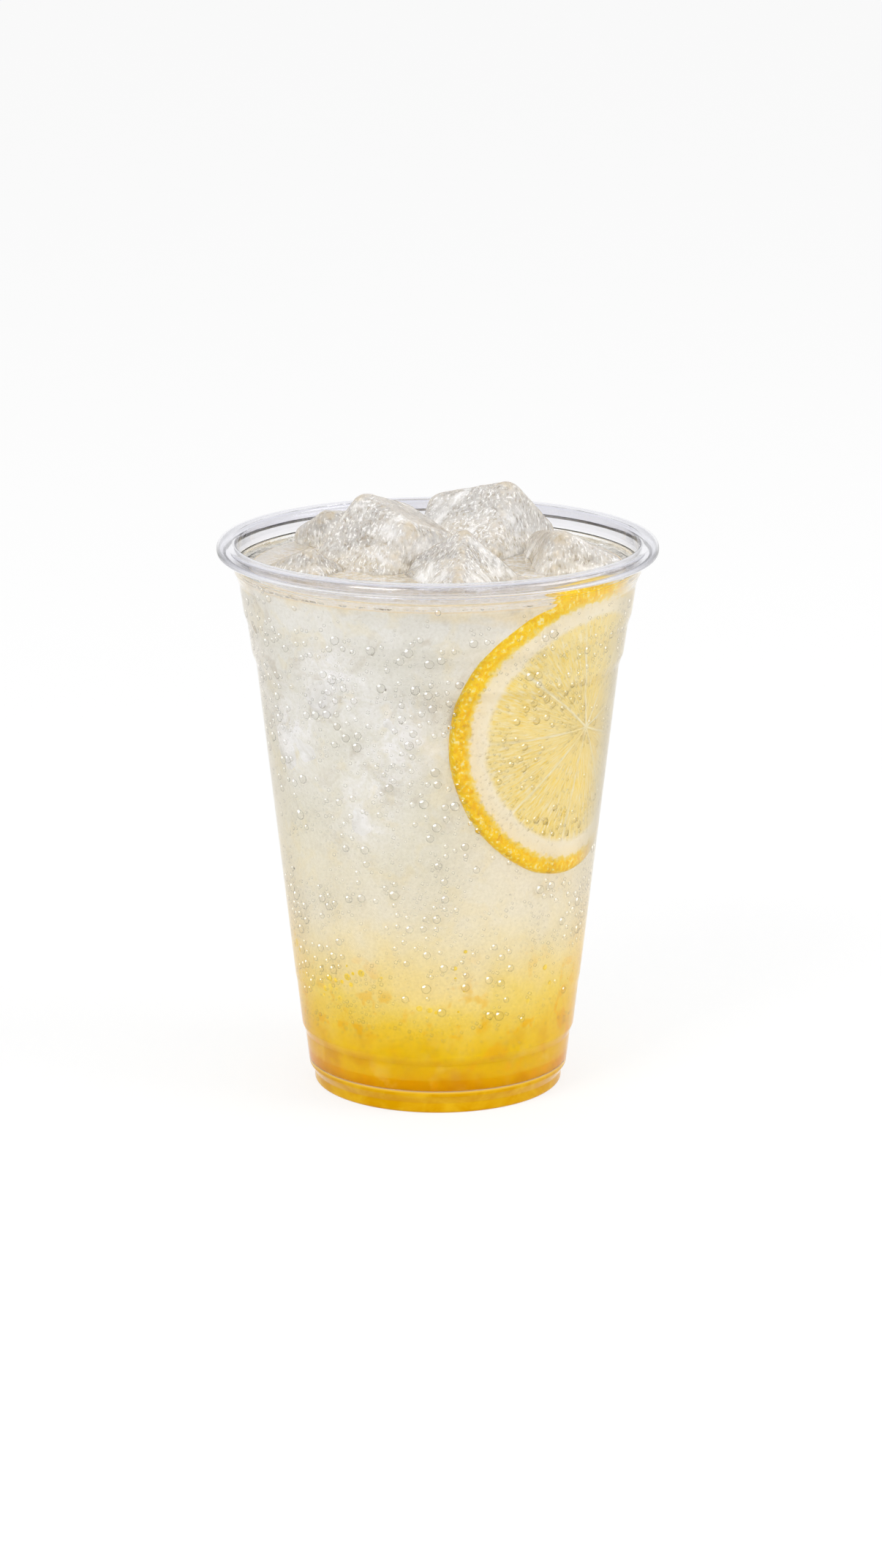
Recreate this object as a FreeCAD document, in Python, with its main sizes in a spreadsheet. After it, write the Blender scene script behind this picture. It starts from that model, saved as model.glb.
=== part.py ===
import FreeCAD, Part
import math
import os
import Sketcher

# A clear thin-walled cup of fizzy lemon drink, with a bent lemon slice against the wall,
# a thick golden syrup settled at the bottom and lumps of ice breaking the surface.
# Millimetres, +Z up, origin at the centre of the foot, on the surface the cup stands on.
# The front of the cup faces -Y.

doc = FreeCAD.newDocument("GlassOfSoda")

# driving sizes

CUP = {
    "cupHeight": 124.5,
    "rimRadius": 49.0,        # outer lip of the rolled rim
    "mouthRadius": 45.2,      # outside of the wall where it turns out into the rim
    "footRadius": 28.0,
    "sheetThick": 0.45,
    "softCorner": 0.8,        # bend radius of the formed sheet, on the outside
    "footHeight": 2.4,
    "footFlat": 2.2,          # width of the ring that the cup stands on
    "baseRise": 2.6,          # the base panel is held clear of the table
    "baseSlope": 2.8,         # run of the slope between the foot ring and the base panel
    "lowRise": 1.9,           # height of each lower shoulder
    "highRise": 2.6,          # height of each upper shoulder
    "footStep": 1.2,          # how far each shoulder steps out, from the foot upwards
    "lowStep": 0.75,
    "midStep": 0.35,
    "highStep": 0.97,
    "topStep": 0.85,
    "flareStep": 1.1,
    "lowBandTop": 11.75,      # height of the two short bands above the foot
    "midBandTop": 23.3,
    "mainDrop": 27.3,         # distances below the rim of the upper band edges
    "highBandDrop": 18.2,
    "topBandDrop": 9.1,
    "lowDraft": 6.5,          # wall angles of the short bands, in degrees
    "highDraft": 8.0,
    "rimDepth": 3.1,
    "curlRadius": 1.5,
    "lipRound": 0.9,
    "curlReturn": 0.9,        # how far the curled sheet turns back in under the rim
}

DRINK = {
    "levelDrop": 5.7,         # liquid surface below the rim
    "meniscusRise": 0.9,
    "meniscusRun": 2.6,
    "syrupDepth": 24.0,       # top of the syrup at the middle of the cup
    "syrupClimb": 2.5,        # how much higher it lies at the foot's wall
    "syrupLevel": 0.6,        # share of the foot's radius over which it lies level
}

SLICE = {
    "sliceRadius": 33.4,
    "sliceThick": 5.0,
    "sliceGap": 0.3,          # the slice lies this far from the wall
    "slicePeak": 2.6,         # its rind stands this far out of the drink
    "sliceTurn": -36.5,       # direction of its middle about the cup's axis
    "peelDepth": 8.6,         # rind and pith together
    "fleshSink": 0.45,        # the flesh lies below the cut faces of pith and membranes
    "membrane": 0.9,
    "coreRadius": 2.4,
    "segments": 9,
    "firstTurn": 20,          # direction of the first membrane, in degrees from the slice's level line
}

# Every lump is a tapered block with melted edges. Its middle lies Across and Deep from the cup's
# axis and Rise above the drink's surface; Long, Wide and Tall are its base and height, TopLong and
# TopWide its other end.
ICE = {
    "iceLeft": dict(Across=-10.6, Deep=4.0, Rise=0.9, Yaw=49, Pitch=19, Roll=108,
                    Long=25.0, Wide=25.0, Tall=22.0, TopLong=19.5, TopWide=20.2, Melt=3.5),
    "iceFront": dict(Across=6.7, Deep=-14.0, Rise=-6.8, Yaw=18, Pitch=43, Roll=45,
                     Long=24.0, Wide=24.0, Tall=20.0, TopLong=27.4, TopWide=18.7, Melt=2.2),
    "iceBack": dict(Across=10.7, Deep=22.7, Rise=-1.8, Yaw=49, Pitch=41, Roll=71,
                    Long=27.9, Wide=24.0, Tall=23.8, TopLong=21.8, TopWide=24.0, Melt=3.5),
    "iceRight": dict(Across=28.5, Deep=2.0, Rise=-6.4, Yaw=-77, Pitch=-12, Roll=158,
                     Long=21.9, Wide=20.2, Tall=19.7, TopLong=26.7, TopWide=24.8, Melt=3.5),
    "iceFarLeft": dict(Across=-20.1, Deep=24.6, Rise=-1.9, Yaw=38, Pitch=6, Roll=59,
                       Long=18.2, Wide=17.7, Tall=15.9, TopLong=22.2, TopWide=13.8, Melt=3.0),
    "iceNearLeft": dict(Across=-28.1, Deep=-6.0, Rise=-7.0, Yaw=41, Pitch=33, Roll=58,
                        Long=16.0, Wide=18.0, Tall=16.0, TopLong=19.2, TopWide=16.4, Melt=2.5),
}
ICE_GAP = {"iceWallGap": 0.4, "iceTouchGap": 0.3}

sheet = doc.addObject("Spreadsheet::Sheet", "Sizes")
cell = 0


def set_sizes(values):
    global cell
    for alias, value in values.items():
        cell += 1
        sheet.set("A%d" % cell, alias)
        sheet.set("B%d" % cell, str(value))
        sheet.setAlias("B%d" % cell, alias)


set_sizes(CUP)
set_sizes(DRINK)
set_sizes(SLICE)
set_sizes(ICE_GAP)
for lump, values in ICE.items():
    set_sizes({lump + word: value for word, value in values.items()})
doc.recompute()


def size(alias):
    return float(sheet.get(alias))


# sketches and solids

def origin_part(body, role):
    return next(f for f in body.Origin.OriginFeatures if f.Role == role)


def flat_sketch(body, name, role):
    sketch = body.newObject("Sketcher::SketchObject", name)
    sketch.AttachmentSupport = [(origin_part(body, role), "")]
    sketch.MapMode = "FlatFace"
    return sketch


def bind_corner(sketch, corner, kind, formula):
    # a corner coordinate is a formula of the sheet's sizes, or lies on an axis of the sketch
    if formula == "0":
        axis = -2 if kind == "DistanceX" else -1
        sketch.addConstraint(Sketcher.Constraint("PointOnObject", corner, 1, axis))
        return
    row = sketch.addConstraint(Sketcher.Constraint(kind, -1, 1, corner, 1, 1.0 + corner))
    sketch.setExpression("Constraints[%d]" % row, formula)


FIRST_BEND = 0.05           # bends are drawn this small, then take their own radius


def outline(sketch, corners):
    # closed outline through the corners, each (across, up, bend radius or None)
    count = len(corners)
    spread = size("rimRadius")
    turns = [2 * math.pi * i / count for i in range(count)]
    start = [FreeCAD.Vector(spread * (1 + math.cos(t)), spread * (1 + math.sin(t)), 0) for t in turns]
    for i in range(count):
        sketch.addGeometry(Part.LineSegment(start[i], start[(i + 1) % count]))
    for i in range(count):
        sketch.addConstraint(Sketcher.Constraint("Coincident", i, 2, (i + 1) % count, 1))
    for i, (across, up, bend) in enumerate(corners):
        bind_corner(sketch, i, "DistanceX", across)
        bind_corner(sketch, i, "DistanceY", up)
    doc.recompute()
    for i, (across, up, bend) in enumerate(corners):
        if bend is None:
            continue
        sketch.fillet(i, 1, FIRST_BEND, True, True)
        arc = max(k for k, g in enumerate(sketch.Geometry) if g.TypeId == "Part::GeomArcOfCircle")
        row = sketch.addConstraint(Sketcher.Constraint("Radius", arc, FIRST_BEND))
        sketch.setExpression("Constraints[%d]" % row, bend)


def revolved(name, corners, angle=360.0):
    # solid of revolution about the cup's axis
    body = doc.addObject("PartDesign::Body", name)
    sketch = flat_sketch(body, name + "Outline", "XZ_Plane")
    outline(sketch, corners)
    turn = body.newObject("PartDesign::Revolution", name + "Turn")
    turn.Profile = sketch
    turn.ReferenceAxis = (sketch, ["V_Axis"])
    turn.Angle = angle
    turn.Midplane = angle < 360.0
    doc.recompute()
    return body


def boolean(kind, name, base, tool):
    result = doc.addObject(kind, name)
    result.Base = base
    result.Tool = tool
    doc.recompute()
    return result


# cup

# Radii and heights of the outside, worked out band by band from the foot and from the rim.
footTop = "Sizes.footHeight + Sizes.lowRise"
bandR1 = "Sizes.footRadius + Sizes.footStep"
bandR2 = bandR1 + " + (Sizes.lowBandTop - Sizes.footHeight - Sizes.lowRise) * tan(Sizes.lowDraft)"
bandR3 = bandR2 + " + Sizes.lowStep"
bandR4 = bandR3 + " + (Sizes.midBandTop - Sizes.lowBandTop - Sizes.lowRise) * tan(Sizes.lowDraft)"
mainR1 = bandR4 + " + Sizes.midStep"
bandR9 = "Sizes.mouthRadius - Sizes.flareStep"
bandR8 = bandR9 + " - (Sizes.highBandDrop - Sizes.topBandDrop - Sizes.highRise) * tan(Sizes.highDraft)"
bandR7 = bandR8 + " - Sizes.topStep"
bandR6 = bandR7 + " - (Sizes.mainDrop - Sizes.highBandDrop - Sizes.highRise) * tan(Sizes.highDraft)"
mainR2 = bandR6 + " - Sizes.highStep"

WALL = [
    ("Sizes.footRadius", "Sizes.footHeight"),
    (bandR1, footTop),
    (bandR2, "Sizes.lowBandTop"),
    (bandR3, "Sizes.lowBandTop + Sizes.lowRise"),
    (bandR4, "Sizes.midBandTop"),
    (mainR1, "Sizes.midBandTop + Sizes.lowRise"),
    (mainR2, "Sizes.cupHeight - Sizes.mainDrop"),
    (bandR6, "Sizes.cupHeight - Sizes.mainDrop + Sizes.highRise"),
    (bandR7, "Sizes.cupHeight - Sizes.highBandDrop"),
    (bandR8, "Sizes.cupHeight - Sizes.highBandDrop + Sizes.highRise"),
    (bandR9, "Sizes.cupHeight - Sizes.topBandDrop"),
    ("Sizes.mouthRadius", "Sizes.cupHeight - Sizes.topBandDrop + Sizes.highRise"),
]

footInner = "Sizes.footRadius - Sizes.footFlat"
panelEdge = footInner + " - Sizes.baseSlope"
innerBend = "Sizes.softCorner - Sizes.sheetThick / 2"
curlInside = "Sizes.curlRadius - Sizes.sheetThick"
rimUnder = "Sizes.cupHeight - Sizes.sheetThick"
rimFloor = "Sizes.cupHeight - Sizes.rimDepth"
curlInner = "Sizes.rimRadius - Sizes.sheetThick"
curlEnd = "Sizes.rimRadius - Sizes.curlRadius - Sizes.curlReturn"

cupOutside = [("0", "Sizes.baseRise", None), (panelEdge, "Sizes.baseRise", "Sizes.softCorner")]
cupOutside += [(footInner, "0", "Sizes.softCorner"), ("Sizes.footRadius", "0", "Sizes.softCorner")]
cupOutside += [(radius, height, "Sizes.softCorner") for radius, height in WALL]
cupOutside += [
    ("Sizes.mouthRadius", rimUnder, "Sizes.lipRound - Sizes.sheetThick"),
    (curlInner, rimUnder, curlInside),
    (curlInner, rimFloor + " + Sizes.sheetThick", curlInside),
    (curlEnd, rimFloor + " + Sizes.sheetThick", None),
    (curlEnd, rimFloor, None),
    ("Sizes.rimRadius", rimFloor, "Sizes.curlRadius"),
    ("Sizes.rimRadius", "Sizes.cupHeight", "Sizes.curlRadius"),
    ("0", "Sizes.cupHeight", None),
]
cupForm = revolved("CupForm", cupOutside)

boreTop = "Sizes.cupHeight + Sizes.rimDepth"
mouthInside = "Sizes.mouthRadius - Sizes.sheetThick"
insideWall = [("0", "Sizes.baseRise + Sizes.sheetThick", None)]
insideWall += [(panelEdge, "Sizes.baseRise + Sizes.sheetThick", innerBend)]
insideWall += [(footInner, "Sizes.sheetThick", innerBend)]
insideWall += [("Sizes.footRadius - Sizes.sheetThick", "Sizes.sheetThick", innerBend)]
insideWall += [(radius + " - Sizes.sheetThick", height, innerBend) for radius, height in WALL]
insideWall += [(mouthInside, boreTop, None), ("0", boreTop, None)]
bore = revolved("Bore", insideWall)

shell = boolean("Part::Cut", "CupShell", cupForm, bore)


def lip_edges(shape):
    # the sharp circle where the bore meets the top of the rim
    lip = size("mouthRadius") - size("sheetThick")
    found = []
    for number, edge in enumerate(shape.Edges, 1):
        box = edge.BoundBox
        level = abs(box.ZMin - size("cupHeight")) < 1e-3 and abs(box.ZMax - size("cupHeight")) < 1e-3
        if level and abs(box.XMax - lip) < 1e-2:
            found.append((number, size("lipRound"), size("lipRound")))
    return found


cup = doc.addObject("Part::Fillet", "Cup")
cup.Base = shell
cup.Edges = lip_edges(shell.Shape)
doc.recompute()

# lemon slice

# The slice is stiff, so it keeps to the line of the long main wall, prolonged to its own top.
wallSlope = "((" + mainR2 + ") - (" + mainR1 + ")) / (Sizes.cupHeight - Sizes.mainDrop"
wallSlope += " - Sizes.midBandTop - Sizes.lowRise)"
sliceMiddle = "Sizes.cupHeight - Sizes.levelDrop + Sizes.slicePeak - Sizes.sliceRadius"


def along_wall(height, inset):
    # radius at a height of a cone that runs parallel to the inside of the main wall
    base = "(" + mainR1 + ") - Sizes.sheetThick - Sizes.sliceGap - " + inset
    return base + " + (" + height + " - Sizes.midBandTop - Sizes.lowRise) * " + wallSlope


SLICE_SWEEP = 170.0         # degrees round the cup's axis, more than any slice takes up


def wall_cone(name, outer, inner):
    # part turn of a cone along the wall, between two insets, wide enough for the whole slice
    low = "(" + sliceMiddle + " - Sizes.sliceRadius - Sizes.sliceThick)"
    high = "(" + sliceMiddle + " + Sizes.sliceRadius + Sizes.sliceThick)"
    corners = [(along_wall(low, outer), low, None), (along_wall(high, outer), high, None)]
    corners += [(along_wall(high, inner), high, None), (along_wall(low, inner), low, None)]
    return turn_to_slice(revolved(name, corners, SLICE_SWEEP))


def turn_to_slice(item):
    item.Placement = FreeCAD.Placement(FreeCAD.Vector(0, 0, 0), FreeCAD.Rotation(size("sliceTurn"), 0, 0))
    item.setExpression("Placement", "placement(vector(0; 0; 0); rotation(Sizes.sliceTurn; 0; 0))")
    doc.recompute()
    return item


middleHeight = size("cupHeight") - size("levelDrop") + size("slicePeak") - size("sliceRadius")
boreCircle = bore.Shape.slice(FreeCAD.Vector(0, 0, 1), middleHeight)[0].Edges[0]
bendRadius = boreCircle.Curve.Radius - size("sliceGap") - size("sliceThick") / 2
fleshRadius = size("sliceRadius") - size("peelDepth")


def bent(radius, turn):
    # point of the flat slice once it is bent to the wall, seen along the slice's middle
    across = radius * math.cos(turn)
    up = radius * math.sin(turn)
    return FreeCAD.Vector(0, bendRadius * math.sin(across / bendRadius), middleHeight + up)


def prism(wire):
    # runs straight out from the cup's axis, through the slice
    return Part.Face(wire).extrude(FreeCAD.Vector(size("rimRadius"), 0, 0))


def slice_round():
    # the round outline of the slice
    corners = 16
    curve = Part.BSplineCurve()
    turns = [2 * math.pi * k / corners for k in range(corners)]
    curve.interpolate([bent(size("sliceRadius"), turn) for turn in turns], PeriodicFlag=True)
    return prism(Part.Wire([curve.toShape()]))


def segment_cell(start, end):
    # one wedge of flesh between two membranes, its outer corners rounded
    core = size("coreRadius")
    half = size("membrane") / 2
    blunt = 0.1                       # radians of the outer arc given to each rounded corner
    shoulder = fleshRadius * (1 - blunt)
    bulge = fleshRadius * (1 - blunt / 5)
    inner = [bent(core, turn) for turn in (start + half / core, end - half / core)]
    side = [bent(shoulder, turn) for turn in (start + half / shoulder, end - half / shoulder)]
    turnIn = half / fleshRadius + blunt
    outer = [bent(fleshRadius, turn) for turn in (start + turnIn, end - turnIn)]
    knee = [bent(bulge, turn) for turn in (start + turnIn / 2, end - turnIn / 2)]
    crown = bent(fleshRadius, (start + end) / 2)
    return prism(Part.Wire([
        Part.LineSegment(inner[0], side[0]).toShape(),
        Part.Arc(side[0], knee[0], outer[0]).toShape(),
        Part.Arc(outer[0], crown, outer[1]).toShape(),
        Part.Arc(outer[1], knee[1], side[1]).toShape(),
        Part.LineSegment(side[1], inner[1]).toShape(),
        Part.LineSegment(inner[1], inner[0]).toShape(),
    ]))


def shape_feature(name, shape):
    feature = doc.addObject("Part::Feature", name)
    feature.Shape = shape
    return turn_to_slice(feature)


segmentTurn = 2 * math.pi / size("segments")
firstTurn = math.radians(size("firstTurn"))
starts = [firstTurn + k * segmentTurn for k in range(int(size("segments")))]
cells = [segment_cell(start, start + segmentTurn) for start in starts]
cellBlocks = shape_feature("FleshCells", Part.makeCompound(cells))
roundBlock = shape_feature("SliceRound", slice_round())

peelCone = wall_cone("PeelCone", "0", "Sizes.sliceThick")
fleshCone = wall_cone("FleshCone", "Sizes.fleshSink", "(Sizes.sliceThick - Sizes.fleshSink)")
sliceBlank = boolean("Part::Common", "SliceBlank", peelCone, roundBlock)

peelRing = boolean("Part::Cut", "PeelRing", sliceBlank, cellBlocks)
flesh = boolean("Part::Common", "Flesh", fleshCone, cellBlocks)
lemonSlice = boolean("Part::Fuse", "LemonSlice", peelRing, flesh)

# ice

roomLow = "(Sizes.midBandTop + Sizes.lowRise)"
roomHigh = "(Sizes.cupHeight + Sizes.mainDrop)"
iceRoom = revolved("IceRoom", [
    ("0", roomLow, None),
    (along_wall(roomLow, "Sizes.iceWallGap"), roomLow, None),
    (along_wall(roomHigh, "Sizes.iceWallGap"), roomHigh, None),
    ("0", roomHigh, None),
])


def ice_block(lump):
    # tapered block with every edge melted round, tipped over in the drink
    body = doc.addObject("PartDesign::Body", lump + "Block")
    wedge = body.newObject("PartDesign::AdditiveWedge", lump + "Wedge")
    spans = {"X": "Long", "Z": "Wide", "X2": "TopLong", "Z2": "TopWide", "Y": "Tall"}
    for axis, word in spans.items():
        setattr(wedge, axis + "min", -size(lump + word) / 2)
        setattr(wedge, axis + "max", size(lump + word) / 2)
        wedge.setExpression(axis + "min", "-Sizes." + lump + word + " / 2")
        wedge.setExpression(axis + "max", "Sizes." + lump + word + " / 2")
    melt = body.newObject("PartDesign::Fillet", lump + "Melt")
    melt.Base = (wedge, [""])
    melt.UseAllEdges = True
    melt.Radius = size(lump + "Melt")
    melt.setExpression("Radius", "Sizes." + lump + "Melt")
    body.Tip = melt
    place = "Sizes.{0}Across; Sizes.{0}Deep; Sizes.cupHeight - Sizes.levelDrop + Sizes.{0}Rise"
    turn = "Sizes.{0}Yaw; Sizes.{0}Pitch; Sizes.{0}Roll"
    body.setExpression("Placement", ("placement(vector(" + place + "); rotation(" + turn + "))").format(lump))
    doc.recompute()
    return body


def ice_lumps():
    # each lump has melted against the wall, the slice and the lumps before it
    done = {}
    for lump in ICE:
        shaped = boolean("Part::Common", lump + "InCup", ice_block(lump), iceRoom)
        for name, other in [("Slice", sliceBlank)] + list(done.items()):
            if shaped.Shape.distToShape(other.Shape)[0] < size("iceTouchGap"):
                shaped = boolean("Part::Cut", lump + "Off" + name, shaped, other)
        done[lump] = shaped
    return done


lumps = ice_lumps()

# drink

level = "Sizes.cupHeight - Sizes.levelDrop"
dishEdge = "Sizes.syrupLevel * Sizes.footRadius"
wallReach = "Sizes.rimRadius"
climb = " + Sizes.syrupClimb * (Sizes.rimRadius - " + dishEdge + ") / (Sizes.footRadius - " + dishEdge + ")"
dish = [("0", "Sizes.syrupDepth", None), (dishEdge, "Sizes.syrupDepth", "Sizes.footRadius / 2")]
dish += [(wallReach, "Sizes.syrupDepth" + climb, None)]
syrupBlock = revolved("SyrupBlock", dish + [(wallReach, "0", None), ("0", "0", None)])
syrup = boolean("Part::Common", "Syrup", bore, syrupBlock)

meniscus = [
    (wallReach, level + " + Sizes.meniscusRise / Sizes.meniscusRun * (Sizes.rimRadius - " + mouthInside
     + " + Sizes.meniscusRun)", None),
    (mouthInside + " - Sizes.meniscusRun", level, "2 * Sizes.meniscusRun"),
    ("0", level, None),
]
sodaBlock = revolved("SodaBlock", dish + meniscus)
soda = boolean("Part::Common", "SodaFull", bore, sodaBlock)
for name, item in [("Slice", lemonSlice)] + list(lumps.items()):
    soda = boolean("Part::Cut", "SodaRound" + name, soda, item)

# hand-over

NODES = {"cup": cup, "syrup": syrup, "soda": soda, "lemon_slice": lemonSlice}
LUMP_NODES = {
    "iceLeft": "ice_left",
    "iceFront": "ice_front",
    "iceBack": "ice_back",
    "iceRight": "ice_right",
    "iceFarLeft": "ice_far_left",
    "iceNearLeft": "ice_near_left",
}
for lump, node in LUMP_NODES.items():
    NODES[node] = lumps[lump]

for item in doc.Objects:
    if "Invalid" in item.State or "Error" in item.State:
        print(item.Name, item.State)
        raise RuntimeError("failed feature: " + item.Name)
for node, item in NODES.items():
    item.Label = node
    shape = item.Shape
    if shape.isNull() or not shape.isValid() or len(shape.Solids) != 1:
        raise RuntimeError("unsound solid: %s, %d solids" % (node, len(shape.Solids)))

os.makedirs("parts", exist_ok=True)
for node, item in NODES.items():
    item.Shape.exportStep("parts/" + node + ".step")
    box = item.Shape.BoundBox
    print("%-14s %9.0f mm3  z %6.1f to %6.1f" % (node, item.Shape.Volume, box.ZMin, box.ZMax))
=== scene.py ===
import math

import bmesh
import bpy
from mathutils import Matrix, Vector, noise


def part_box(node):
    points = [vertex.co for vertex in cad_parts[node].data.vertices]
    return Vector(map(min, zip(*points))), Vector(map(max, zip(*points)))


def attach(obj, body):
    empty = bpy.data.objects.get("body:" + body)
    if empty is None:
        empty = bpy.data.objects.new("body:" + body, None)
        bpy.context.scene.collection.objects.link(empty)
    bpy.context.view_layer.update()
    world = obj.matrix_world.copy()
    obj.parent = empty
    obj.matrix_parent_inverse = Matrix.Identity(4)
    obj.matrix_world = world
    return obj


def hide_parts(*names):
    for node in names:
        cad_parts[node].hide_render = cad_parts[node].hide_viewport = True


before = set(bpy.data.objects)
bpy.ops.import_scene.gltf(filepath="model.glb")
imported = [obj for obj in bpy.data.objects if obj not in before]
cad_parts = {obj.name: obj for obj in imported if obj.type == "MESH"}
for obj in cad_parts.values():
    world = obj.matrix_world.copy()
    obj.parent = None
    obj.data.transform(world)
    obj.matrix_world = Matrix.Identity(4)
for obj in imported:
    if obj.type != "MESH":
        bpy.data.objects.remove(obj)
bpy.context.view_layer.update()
print("frame loaded")

mm = 0.001
level = 118.8        # height of the drink's surface, in millimetres


# small helpers

def tint(red, green, blue):
    # a colour written as it shows on a screen, 0 to 255
    def linear(value):
        value /= 255
        return value / 12.92 if value <= 0.04045 else ((value + 0.055) / 1.055) ** 2.4
    return (linear(red), linear(green), linear(blue), 1.0)


def grey(value):
    return (value, value, value, 1.0)


def isSocket(value):
    return isinstance(value, bpy.types.NodeSocket)


def join(value, socket):
    # a socket is linked; anything else is set, a colour of three numbers as it shows on a screen
    if isSocket(value):
        socket.id_data.links.new(value, socket)
    elif isinstance(socket, bpy.types.NodeSocketColor) and len(value) == 3:
        socket.default_value = tint(*value)
    else:
        socket.default_value = value


def startNode(tree, kind, **settings):
    # the kind of a shader node goes without its first word
    made = tree.nodes.new(kind if kind.startswith(("Geometry", "Function")) else "ShaderNode" + kind)
    for key, value in settings.items():
        setattr(made, key, value)
    return made


def addNode(kind, inputs, **settings):
    # a node in the tree of its inputs, which are given by name or number
    tree = next(value.id_data for value in inputs.values() if isSocket(value))
    made = startNode(tree, kind, **settings)
    for key, value in inputs.items():
        join(value, made.inputs[key])
    return made


def nodeOut(kind, inputs, **settings):
    made = addNode(kind, inputs, **settings)
    return made.outputs[0]


def math2(operation, first, second=0.0):
    return nodeOut("Math", {0: first, 1: second}, operation=operation)


def times(product, *factors):
    for factor in factors:
        product = math2("MULTIPLY", product, factor)
    return product


def vectors(operation, first, second=(0, 0, 0)):
    # a scale takes its factor from a socket of its own
    inputs = {0: first, 3 if operation == "SCALE" else 1: second}
    made = addNode("VectorMath", inputs, operation=operation)
    return made.outputs["Value" if operation in ("LENGTH", "DOT_PRODUCT") else "Vector"]


def partsOf(vector):
    return addNode("SeparateXYZ", {0: vector}).outputs


def remap(value, low, high, toLow=0.0, toHigh=1.0, soft=False):
    inputs = {"Value": value, "From Min": low, "From Max": high, "To Min": toLow, "To Max": toHigh}
    return nodeOut("MapRange", inputs, interpolation_type="SMOOTHSTEP" if soft else "LINEAR")


def belt(height, low, high, toLow=0.0, toHigh=1.0):
    # a share that changes between two heights in millimetres
    return remap(height, low * mm, high * mm, toLow, toHigh)


def noiseOf(place, scale, detail=3.0, roughness=0.5, distortion=0.0):
    return nodeOut("TexNoise", {"Vector": place, "Scale": scale, "Detail": detail, "Roughness": roughness,
                                "Distortion": distortion})


def patches(place, pattern, *spread):
    # a noise, given as (scale, detail, roughness, distortion), spread by the settings of remap
    return remap(noiseOf(place, *pattern), *spread)


def colourRamp(factor, stops, smooth=True):
    made = addNode("ValToRGB", {"Fac": factor})
    made.color_ramp.interpolation = "EASE" if smooth else "LINEAR"
    while len(made.color_ramp.elements) < len(stops):
        made.color_ramp.elements.new(0.5)
    for element, (place, colour) in zip(made.color_ramp.elements, stops):
        element.position = place
        element.color = tint(*colour) if len(colour) == 3 else colour
    return made.outputs["Color"]


def mix(factor, first, second, blend="MIX"):
    tree = next(value.id_data for value in (factor, first, second) if isSocket(value))
    made = startNode(tree, "Mix", data_type="RGBA", blend_type=blend)
    for key, value in (("Factor_Float", factor), ("A_Color", first), ("B_Color", second)):
        join(value, next(s for s in made.inputs if s.identifier == key))
    return next(s for s in made.outputs if s.identifier == "Result_Color")


def newMaterial(name, **sockets):
    # Principled material with plain values on its own sockets
    material = bpy.data.materials.new(name)
    material.use_nodes = True
    tree = material.node_tree
    shader = tree.nodes["Principled BSDF"]
    names = {"ior": "IOR", "specularLevel": "Specular IOR Level", "specularTint": "Specular Tint",
             "transmissionWeight": "Transmission Weight", "roughness": "Roughness"}
    for key, value in sockets.items():
        shader.inputs[names[key]].default_value = value
    return material, tree, shader


def clearMaterial(name, bending, shine=1.0):
    return newMaterial(name, transmissionWeight=1.0, ior=bending, roughness=0.0, specularTint=grey(shine))


def objectPlace(tree):
    return startNode(tree, "TexCoord").outputs["Object"]


def stretchedPlace(tree, upShare):
    mapping = {"Vector": objectPlace(tree), "Scale": (1.0, 1.0, upShare)}
    return nodeOut("Mapping", mapping)


def heightOf(tree):
    return partsOf(objectPlace(tree))["Z"]


def attributeOf(tree, label, output="Fac"):
    return startNode(tree, "Attribute", attribute_name=label).outputs[output]


def feed(shader, socket, value):
    join(value, shader.inputs[socket])


def addBump(shader, height, strength, distance):
    bump = addNode("Bump", {"Height": height, "Strength": strength, "Distance": distance})
    feed(shader, "Normal", bump.outputs["Normal"])


def addGlow(shader, share, colour, strength):
    feed(shader, "Emission Color", mix(share, grey(0), colour))
    shader.inputs["Emission Strength"].default_value = strength


def newPiece(name, mesh, material=None, slot=None):
    piece = bpy.data.objects.new(name, mesh)
    bpy.context.scene.collection.objects.link(piece)
    if material:
        mesh.materials.clear()
        mesh.materials.append(material)
    if slot:
        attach(piece, "root")
    return piece


def smoothShaded(mesh):
    mesh.polygons.foreach_set("use_smooth", [True] * len(mesh.polygons))
    return mesh


def baked(piece, name):
    # the evaluated shape of a piece as a plain mesh; the piece's modifiers are then removed
    seen = piece.evaluated_get(bpy.context.evaluated_depsgraph_get())
    mesh = bpy.data.meshes.new_from_object(seen)
    mesh.name = name
    piece.modifiers.clear()
    return mesh


def finished(mesh, name, *modifiers):
    # the mesh after the modifiers, each (type, settings)
    helper = newPiece(name + "Helper", mesh)
    for kind, settings in modifiers:
        made = helper.modifiers.new(kind, kind)
        for key, value in settings.items():
            setattr(made, key, value)
    result = baked(helper, name)
    bpy.data.objects.remove(helper)
    return result


# outlines turned about the axis

def roundedLine(corners, steps):
    # line through the corners, each (across, up, bend radius), with an arc in each bend
    points = []
    for i, (across, up, bend) in enumerate(corners):
        here = Vector((across, up))
        if not bend:
            points.append(here)
            continue
        before = Vector(corners[i - 1][:2]) - here
        after = Vector(corners[i + 1][:2]) - here
        half = before.angle(after) / 2
        reach = min(bend / math.tan(half), 0.5 * before.length, 0.5 * after.length)
        radius = reach * math.tan(half)
        centre = here + (before.normalized() + after.normalized()).normalized() * radius / math.sin(half)
        first = here + before.normalized() * reach - centre
        last = here + after.normalized() * reach - centre
        sweep = first.angle_signed(last)
        for k in range(steps + 1):
            turn = Matrix.Rotation(-sweep * k / steps, 2)
            points.append(centre + turn @ first)
    return points


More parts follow.
